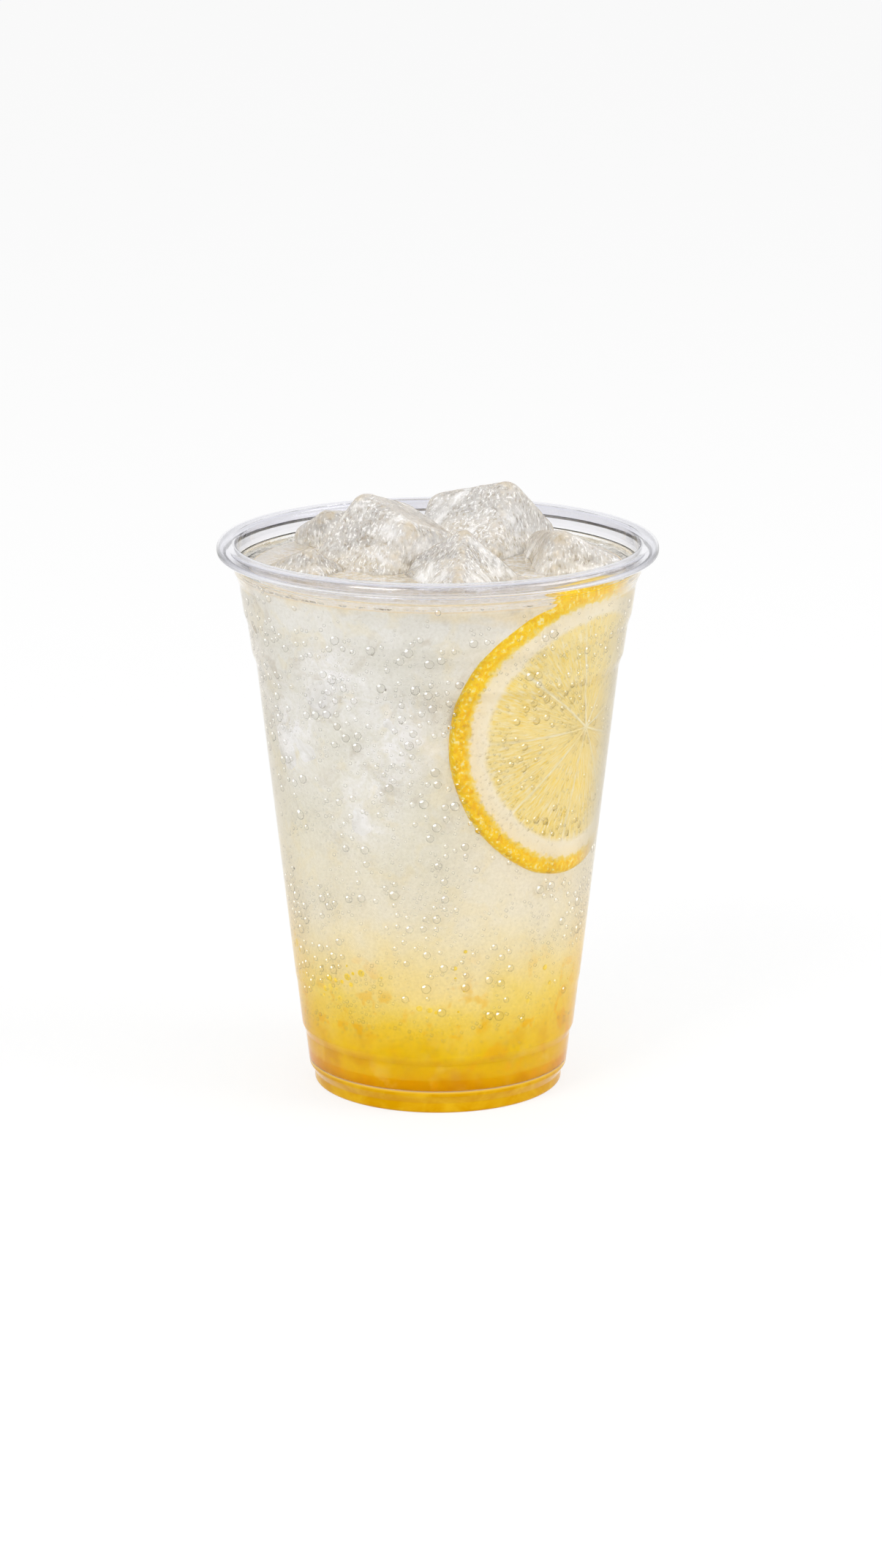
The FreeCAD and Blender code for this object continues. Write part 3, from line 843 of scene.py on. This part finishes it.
def cloudShape():
    # the cloudy heart of the drink, a little inside the clear liquid at the wall
    top = level - drink["cloudTopDrop"]
    start, reach = drink["cloudBelt"]
    line = []
    for across, up, bend in insideLine(0, cup["softCorner"]):
        if up > top - 2:
            continue
        share = min(max((up - start) / reach, 0), 1)
        inset = drink["cloudFootInset"] + (drink["cloudInset"] - drink["cloudFootInset"]) * share
        lift = inset if up < cup["footHeight"] or across < panelEdge + 1 else 0
        line.append((max(across - inset, 0), up + lift, bend))
    line += [(insideRadius(top) - drink["cloudInset"], top, drink["cloudEdge"]), (0, top, None)]
    points = withSupport(roundedLine(line, drink["bendSteps"]), drink["cloudGrain"])
    return lathe("cloudShape", points, drink["cloudSides"])


def surfaceBelt(height, low, high):
    return belt(height, level + low, level + high)


def clearLiquid(look):
    material, tree, shader = clearMaterial("clearLiquid", drink["bending"], drink["shine"])
    swirl = noiseOf(objectPlace(tree), *look["clearSwirl"])
    feed(shader, "Base Color", mix(swirl, *look["clearTones"]))
    # ripples on its surface only
    ripples = noiseOf(objectPlace(tree), *look["ripples"])
    ripples = times(ripples, *[surfaceBelt(heightOf(tree), *ends) for ends in look["rippleBelts"]])
    addBump(shader, ripples, *look["rippleBump"])
    return material


def paintedIceLight(place):
    # share of painted white light, standing for the sunken ice, on a place of the cloudy drink, 0 to 1
    glow = 0.0
    for about, height, size, proud in sunkenIce["lumps"]:
        turn = math.radians(about)
        spot = Vector((math.cos(turn), math.sin(turn), 0)) * insideRadius(height) + Vector((0, 0, height))
        glow += math.exp(-((place / mm - spot).length / drink["iceLightWidth"]) ** 2)
    return min(glow, 1.0)


def blotched(tree, body, pattern, ends, tone, *others):
    # the body with patches of another tone within a belt of heights
    place = objectPlace(tree)
    share = times(*[patches(place, *spots) for spots in (pattern, *others)])
    return mix(times(share, belt(heightOf(tree), *ends)), body, tone)


def cloudyDrink(look):
    # golden syrup at the bottom fading up into pale cloudy soda, with painted light near the sunken ice and
    # painted grey shade higher up
    material, tree, shader = newMaterial("cloudyDrink", roughness=0.8, specularLevel=0.0)
    place, height = objectPlace(tree), heightOf(tree)
    drift = patches(place, *look["drift"])
    layer = belt(math2("ADD", height, drift), 0, look["reach"])
    body = blotched(tree, colourRamp(layer, look["stops"], smooth=False), *look["wisps"])
    # painted light: whiter patches where the sunken ice lies
    iceLight = times(remap(attributeOf(tree, "paintedIceLight"), *look["iceLight"]), patches(place, *look["iceLightVeins"]))
    # painted grey shade in mottled patches, growing from 50 mm up to 80 mm
    body = blotched(tree, mix(iceLight, body, look["iceLightTone"]), *look["shadeMottle"])
    grain = mix(patches(place, *look["grain"]), *look["grainTones"])
    body = mix(1.0, body, grain, "MULTIPLY")
    # lighter and deeper blotches of pulp, and darker bands over the foot
    for part in ("paleBlotches", "pulp", "deepBlotches"):
        body = blotched(tree, body, *look[part])
    for ends, tone in look["footBands"]:
        body = mix(belt(height, *ends), body, tone)
    # ice froth on the surface, greyer next to the wall, with one golden line at its edge
    fromAxis = vectors("LENGTH", vectors("MULTIPLY", place, (1, 1, 0)))
    atTop = surfaceBelt(height, *look["topBelt"])
    froth = noiseOf(place, *look["froth"])
    for spread, tone in look["frothParts"]:
        body = mix(times(atTop, remap(froth, *spread)), body, tone)
    beside = times(atTop, belt(fromAxis, *look["besideWall"]))
    body = mix(beside, body, look["besideTone"])
    waterline = times(surfaceBelt(height, *look["lineBelt"]), belt(fromAxis, *look["lineOut"]))
    feed(shader, "Base Color", mix(waterline, body, look["lineTone"]))
    # painted glow: the foot glows gold, as if light came through it from below
    addGlow(shader, belt(height, *look["glowBelt"]), *look["glow"])
    return material


# Bubbles cling to the wall and to the slice in strings and clusters, sizes in metres.
# "Hang" is 1 for grains wholly under the surface and 0 for grains half sunk in it.
bigBubbles = {
    "Spacing": 0.0021, "Density": 400000.0, "Smallest": 0.0005, "Largest": 0.00115, "Smallness": 2.0,
    "Depth": 0.00008, "Hang": 1.0, "Lowest": 0.02, "Highest": 0.118, "Clump Size": 0.012,
    "Clump Level": 0.48, "String Size": 0.03, "Roundness": 2, "Flatness": 1.0, "Seed": 11}
smallBubbles = {
    **bigBubbles, "Spacing": 0.0010, "Density": 1400000.0, "Smallest": 0.0002, "Largest": 0.0005,
    "Smallness": 1.6,
    "Lowest": 0.006, "Clump Size": 0.010, "Clump Level": 0.47, "String Size": 0.022, "Roundness": 1,
    "Seed": 5}
fizz = {
    **smallBubbles, "Spacing": 0.0008, "Density": 2500000.0, "Smallest": 0.00008, "Largest": 0.0002,
    "Smallness": 1.5,
    "Depth": 0.0001, "Lowest": 0.004, "Highest": 0.1186, "Clump Size": 0.012, "Clump Level": 0.49,
    "String Size": 0.015, "Seed": 8}
sliceFizz = {
    **smallBubbles, "Spacing": 0.0006, "Density": 3500000.0, "Smallest": 0.0001, "Largest": 0.00034,
    "Smallness": 1.8,
    "Depth": 0.0, "Hang": -0.2, "Lowest": 0.04, "Highest": 0.122, "Clump Size": 0.006, "Clump Level": 0.52,
    "String Size": 0.012, "Seed": 6}
pulpFlecks = {
    **bigBubbles, "Spacing": 0.0016, "Density": 900000.0, "Smallest": 0.0003, "Largest": 0.0012,
    "Depth": 0.0012,
    "Hang": 0.6, "Lowest": -0.02, "Highest": 0.037, "Clump Size": 0.009, "Clump Level": 0.50,
    "String Size": 5.0,
    "Flatness": 0.4, "Seed": 3}
scatter = dict(
    fadeIn=0.012, fadeOut=0.012, steepest=0.6, clumpEdge=0.12, string=(0.012, 0.03, 1, 0),
    skinGrain=0.25, skinSides=96,
)

# The light comes from (aside, up, out of the wall); "edge" is how far the grey edge reaches inwards.
bubbleLook = {
    "light": (-0.48, 0.62, 0.62), "ahead": 1.2, "lensRise": 0.27, "bending": 1.25, "front": (0.0, 0.1),
    "edge": (0.56, 0.36, 0, 1, True), "away": (0.7, -0.4, 0.5, 1), "shade": (138, 126, 102),
    "spot": (0.93, 0.975, 0, 1, True), "glint": (-0.35, -0.6, 0, 0.8, True), "glintFront": (0.3, 0.5),
    "glow": 0.75,
    # the last settings give how strong the painted shade is for each kind of bubble
    "shine": (1, 0.1), "shadeDepths": {"deep": 0.9, "middling": 0.75, "pale": 0.28},
}
pulpLook = dict(patches=((350, 2), 0.35, 0.65), tones=((252, 222, 70), (253, 230, 110)))


def facingField(tree):
    # the surface's direction as seen from outside the cup: along the wall, up it, and out of it
    place = startNode(tree, "GeometryNodeInputPosition").outputs[0]
    out = vectors("NORMALIZE", vectors("MULTIPLY", place, (1, 1, 0)))
    # turned some way to the front or the back of the cup, from where it is mostly seen
    side = math2("SIGN", partsOf(place)["Y"])
    ahead = nodeOut("CombineXYZ", {1: side, 2: bubbleLook["lensRise"]})
    ahead = vectors("SCALE", ahead, bubbleLook["ahead"])
    out = vectors("NORMALIZE", vectors("ADD", out, ahead))
    aside = vectors("CROSS_PRODUCT", (0, 0, 1), out)
    normal = startNode(tree, "GeometryNodeInputNormal").outputs[0]
    parts = [vectors("DOT_PRODUCT", normal, way) for way in (aside, (0, 0, 1), out)]
    return nodeOut("CombineXYZ", dict(enumerate(parts)))


def placeShare(tree, given, place):
    # share of grains at a place: in clumps and strings, on upright walls, within a band of heights
    height = partsOf(place)["Z"]
    lean = partsOf(startNode(tree, "GeometryNodeInputNormal").outputs[0])["Z"]
    upright = math2("LESS_THAN", math2("ABSOLUTE", lean), scatter["steepest"])
    low = remap(height, given["Lowest"], math2("ADD", given["Lowest"], scatter["fadeIn"]))
    high = remap(height, given["Highest"], math2("SUBTRACT", given["Highest"], scatter["fadeOut"]))
    shifted = vectors("ADD", place, given["Seed"])
    clump = sizedNoise(shifted, given["Clump Size"], 2)
    clump = remap(clump, given["Clump Level"], math2("ADD", given["Clump Level"], scatter["clumpEdge"]))
    ridge = math2("SUBTRACT", sizedNoise(shifted, given["String Size"], 1), 0.5)
    ridge = remap(math2("ABSOLUTE", ridge), *scatter["string"])
    return times(times(math2("MAXIMUM", clump, ridge), upright), times(low, high))


def scatterTree():
    # grains under a wall, every setting an input
    tree, given, end = newTree("grainsUnderWall", {**bigBubbles, "Material": None})
    place = startNode(tree, "GeometryNodeInputPosition").outputs[0]
    points = addNode("GeometryNodeDistributePointsOnFaces", {
        "Mesh": given["Geometry"], "Distance Min": given["Spacing"], "Density Max": given["Density"],
        "Density Factor": placeShare(tree, given, place), "Seed": given["Seed"]},
        distribute_method="POISSON").outputs
    chance = addNode("FunctionNodeRandomValue", {"Seed": given["Seed"]}, data_type="FLOAT")
    skew = math2("POWER", next(s for s in chance.outputs if s.enabled), given["Smallness"])
    size = remap(skew, 0, 1, given["Smallest"], given["Largest"])
    sink = math2("ADD", times(size, given["Hang"]), given["Depth"])
    offset = vectors("SCALE", points["Normal"], times(sink, -1.0))
    moved = nodeOut("GeometryNodeSetPosition", {"Geometry": points["Points"], "Offset": offset})
    ball = nodeOut("GeometryNodeMeshIcoSphere", {"Radius": 1.0, "Subdivisions": given["Roundness"]})
    shape = nodeOut("CombineXYZ", {0: size, 1: size, 2: times(size, given["Flatness"])})
    grains = addNode("GeometryNodeInstanceOnPoints", {
        "Points": moved, "Instance": ball, "Rotation": points["Rotation"], "Scale": shape}).outputs[0]
    grains = nodeOut("GeometryNodeRealizeInstances", {"Geometry": grains})
    grains = nodeOut("GeometryNodeSetShadeSmooth", {"Geometry": grains})
    stored = storeNamed(grains, "facing", "FLOAT_VECTOR", facingField(tree))
    paintAndEnd(stored, given["Material"], end)
    return tree


def wallSkin():
    # fine surface along the inside of the cup, for what clings to it
    line = [(0, 2)] + [(radius - cup["sheetThick"], height) for radius, height in wall]
    line = [corner for corner in line if corner[1] < level] + [(insideRadius(level), level), (0, level)]
    return lathe("wallSkin", withSupport([Vector(corner) for corner in line], scatter["skinGrain"]),
                 scatter["skinSides"])


def bubbleSkin(look, name, depth):
    # clear, with a soft painted grey shade at the edge on the side away from the light and a painted
    # highlight on the other, which glows
    material, tree, shader = newMaterial(name, ior=look["bending"], roughness=0.0)
    facing = attributeOf(tree, "facing", "Vector")
    out = partsOf(facing)["Z"]
    towards = vectors("DOT_PRODUCT", facing, look["light"])
    # painted shade: a grey edge, strongest away from the light
    edge = times(remap(out, *look["front"]), remap(out, *look["edge"]))
    shade = times(edge, remap(towards, *look["away"]), depth)
    feed(shader, "Base Color", mix(shade, grey(1), look["shade"]))
    # painted highlight: a glowing spot and glint towards the light
    glint = times(remap(towards, *look["glint"]), remap(out, *look["glintFront"]))
    bright = math2("MAXIMUM", remap(towards, *look["spot"]), glint)
    feed(shader, "Transmission Weight", remap(bright, 0, 1, *look["shine"]))
    addGlow(shader, bright, grey(1), look["glow"])
    return material


def pulpMaterial():
    material, tree, shader = newMaterial("orangePulp", roughness=0.6, specularLevel=0.1)
    share = patches(objectPlace(tree), *pulpLook["patches"])
    feed(shader, "Base Color", mix(share, *pulpLook["tones"]))
    return material


grainTree, liquid = scatterTree(), clearLiquid(drinkLook)
bubbleSkins = {name: bubbleSkin(bubbleLook, name + "Bubble", depth) for name,
               depth in bubbleLook["shadeDepths"].items()}
drinkBody = newPiece("drink_clear", cutBy(liquidShape(), drinkCutters, "drink_clear"), liquid, "soda")
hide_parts("soda", "syrup")
cloudMesh = cloudShape()
# painted light of the sunken ice, stored on the cloud's points
iceLight = [paintedIceLight(vertex.co) for vertex in cloudMesh.vertices]
cloudMesh.attributes.new("paintedIceLight", "FLOAT", "POINT").data.foreach_set("value", iceLight)
cloud = newPiece("drink_cloud", cloudMesh, cloudyDrink(drinkLook), "syrup")
for name, sizes, material, slot in (("bubbles_large", bigBubbles, bubbleSkins["deep"], "soda"),
                                    ("bubbles_small", smallBubbles, bubbleSkins["middling"], "soda"),
                                    ("fizz_specks", fizz, bubbleSkins["pale"], "soda"),
                                    ("pulp_flecks", pulpFlecks, pulpMaterial(), "syrup")):
    grains = runTree(wallSkin(), grainTree, {**sizes, "Material": material}, name)
    newPiece(name, grains, material, slot)
    print(name, len(grains.polygons))
print("drink made", len(drinkBody.data.polygons), len(cloud.data.polygons))


# lemon slice

lemon = dict(
    radius=33.4, thick=5.0, gap=0.3, peak=1.6, turn=-33.3, rind=3.5, pith=3.5,
    segments=9, firstTurn=20.0, membrane=0.34, core=0.9, crown=1.6, cornerFill=(0.9, 1.2),
    fleshSink=0.3, fleshGrain=0.55, pithBumps=0.12, wobble=0.5, unevenness=0.006, rimFade=3,
    rings=74, spokes=330, edgeSteps=10, edgeRound=1.6, edgeFullness=0.7,
)
# Patches are (noise pattern, then remap's settings).
lemonLook = dict(
    ragged=((700, 3, 0.6), 0.3, 0.7, -0.02, 0.02),
    peel=[(0.70, (252, 247, 230)), (0.78, (249, 241, 220)), (0.868, (248, 237, 208)),
             (0.890, (246, 220, 110)), (0.912, (250, 208, 10)), (1.0, (250, 202, 0))],
    pits=((950, 3, 0.7), 0.35, 0.65), rindFrom=(0.90, 0.925),
    rind=[(0.15, (247, 192, 0)), (0.45, (253, 209, 0)), (0.72, (255, 218, 30)), (0.95, (255, 238, 160))],
    streakStretch=(26.0, 7.0), streaks=(1.6, 4, 0.55),
    pulp=[(0.3, (246, 214, 78)), (0.5, (249, 228, 146)), (0.7, (253, 243, 212))],
    patches=((75, 3, 0.6), 0.35, 0.65, 0, 0.5), patchTone=(245, 233, 188),
    inside=(0.73, 0.76, 1, 0), thin=((120, 2), 0.35, 0.6, 0.2, 0.8), membraneTone=(250, 246, 226),
    cover=(0.0, 13.0, 0, 0.85, True), coverTone=(226, 219, 196), pores=(1400, 2), bump=(0.4, 0.0003),
)


def mainWallRadius(height):
    # the slice keeps to the line of the long wall, prolonged
    (r1, z1), (r2, z2) = wall[5], wall[6]
    return r1 + (r2 - r1) * (height - z1) / (z2 - z1) - cup["sheetThick"] - lemon["gap"]


def smoothStep(low, high, value):
    share = min(max((value - low) / (high - low), 0), 1)
    return share * share * (3 - 2 * share)


def slicePlace(out, turn, depth):
    # a place in the flat slice, bent round to the wall
    middle = level + lemon["peak"] - lemon["radius"]
    bend = insideRadius(middle) - lemon["gap"] - lemon["thick"] / 2
    up = middle + out * math.sin(turn)
    about = out * math.cos(turn) / bend + math.radians(lemon["turn"])
    radius = mainWallRadius(up) - depth
    return Vector((radius * math.cos(about), radius * math.sin(about), up)) * mm


def segmentOf(turn):
    # number of the segment, and the turn from its nearest membrane
    step = 2 * math.pi / lemon["segments"]
    share = (turn - math.radians(lemon["firstTurn"])) / step
    number = math.floor(share)
    part = share - number
    return number % lemon["segments"], min(part, 1 - part) * step


def wave(turn, reach, layer):
    # an even noise round the slice
    return noise.noise(Vector((math.cos(turn) * reach, math.sin(turn) * reach, layer)))


def fleshMask(out, turn):
    # 1 in the flesh, 0 in the rind, the pith, the core and the membranes
    number, away = segmentOf(turn)
    inner = lemon["radius"] - lemon["rind"] - lemon["pith"] + lemon["wobble"] * wave(turn, 3, number)
    side = out * math.sin(min(away, math.pi / 2))
    body = smoothStep(lemon["membrane"] * 0.3, lemon["membrane"] * 1.1, side)
    fill, width = lemon["cornerFill"]
    crown = smoothStep(0, lemon["crown"], inner - out - fill * math.exp(-side / width))
    return body * crown * smoothStep(lemon["core"] * 0.6, lemon["core"] * 1.3, out)


def faceRelief(out, turn, mask):
    # how deep a place of the cut face lies: the flesh is sunk, the pith is only uneven
    grain = noise.noise(Vector((turn * 16, out * 0.35, segmentOf(turn)[0] * 3.1)))
    relief = lemon["fleshSink"] * mask * (1 + lemon["fleshGrain"] * grain)
    bumps = noise.noise(Vector((math.cos(turn) * out, math.sin(turn) * out, 4)) * 0.9)
    relief += lemon["pithBumps"] * (1 - mask) * bumps
    return max(relief, 0) * smoothStep(lemon["radius"], lemon["radius"] - lemon["rimFade"], out)


def sliceSection():
    # rings of the slice, each (distance from its middle, depth, side that it faces, 0 on the edge)
    flat, thick, steps = lemon["radius"] - lemon["edgeRound"], lemon["thick"], lemon["edgeSteps"]
    face = [flat * k / lemon["rings"] for k in range(1, lemon["rings"] + 1)]
    turns = [math.pi * k / steps for k in range(1, steps)]
    edge = [(flat + lemon["edgeRound"] * math.sin(turn) ** lemon["edgeFullness"],
             (1 - math.cos(turn)) / 2 * thick, 0)
            for turn in turns]
    return [(out, 0.0, 1) for out in face] + edge + [(out, thick, -1) for out in reversed(face)]


def sliceMesh():
    spokes, section = lemon["spokes"], sliceSection()
    # each point: place, flesh, share of the radius, turn, and distance across
    points = [(slicePlace(0, 0, 0), 0.0, 0.0, 0.0, 0.0)]
    for out, depth, side in section:
        for k in range(spokes):
            turn = 2 * math.pi * (k / spokes) - math.pi
            mask = fleshMask(out, turn) if side else 0.0
            relief = faceRelief(out, turn, mask) if side else 0.0
            shrink = 1 + lemon["unevenness"] * wave(turn, 4, 9)
            place = slicePlace(out * shrink, turn, depth + side * relief)
            points.append((place, mask, out / lemon["radius"], turn, out * math.cos(turn)))
    points.append((slicePlace(0, 0, lemon["thick"]), 0.0, 0.0, 0.0, 0.0))
    last, pairs = len(points) - 1, [(k, (k + 1) % spokes) for k in range(spokes)]
    faces = [(0, 1 + n, 1 + k) for k, n in pairs]
    for start in range(1, last - spokes, spokes):
        faces += [(start + k, start + n, start + spokes + n, start + spokes + k) for k, n in pairs]
    faces += [(last, last - spokes + k, last - spokes + n) for k, n in pairs]
    verts, *fields = zip(*points)
    mesh = bpy.data.meshes.new("lemonSlice")
    mesh.from_pydata(verts, [], faces)
    for label, values in zip(("flesh", "outward", "aboutSlice", "across"), fields):
        mesh.attributes.new(label, "FLOAT", "POINT").data.foreach_set("value", values)
    return facedOut(mesh)


def lemonFinish(look):
    material, tree, shader = newMaterial("lemonSlice", roughness=0.4, specularLevel=0.3)
    place = objectPlace(tree)
    outward, flesh = attributeOf(tree, "outward"), attributeOf(tree, "flesh")
    ringPlace = math2("ADD", outward, patches(place, *look["ragged"]))
    peel = colourRamp(ringPlace, look["peel"], smooth=False)
    rind = colourRamp(patches(place, *look["pits"]), look["rind"], smooth=False)
    peel = mix(remap(ringPlace, *look["rindFrom"]), peel, rind)
    ways = [times(attributeOf(tree, label), stretch)
            for label, stretch in zip(("aboutSlice", "outward"), look["streakStretch"])]
    streakPlace = nodeOut("CombineXYZ", dict(enumerate(ways)))
    streaks = noiseOf(streakPlace, *look["streaks"])
    pulp = colourRamp(streaks, look["pulp"])
    pulp = mix(patches(place, *look["patches"]), pulp, look["patchTone"])
    inside = remap(outward, *look["inside"])
    bare = times(math2("SUBTRACT", 1, flesh), inside, patches(place, *look["thin"]))
    colour = mix(flesh, peel, pulp)
    colour = mix(inside, colour, mix(bare, pulp, look["membraneTone"]))
    # towards its far side the slice leaves the wall and the cloudy soda covers it
    cover = remap(attributeOf(tree, "across"), *look["cover"])
    feed(shader, "Base Color", mix(cover, colour, look["coverTone"]))
    pores = noiseOf(place, *look["pores"])
    addBump(shader, math2("ADD", times(streaks, flesh), pores), *look["bump"])
    return material


slicePiece = newPiece("lemon_wheel", sliceMesh(), lemonFinish(lemonLook), "lemon")
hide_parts("lemon_slice")
given = {**sliceFizz, "Material": bubbleSkins["pale"]}
sliceBubbles = runTree(slicePiece.data.copy(), grainTree, given, "slice_fizz")
newPiece("slice_fizz", sliceBubbles, bubbleSkins["pale"], "soda")
print("lemon slice made, fizz on it", len(sliceBubbles.polygons))
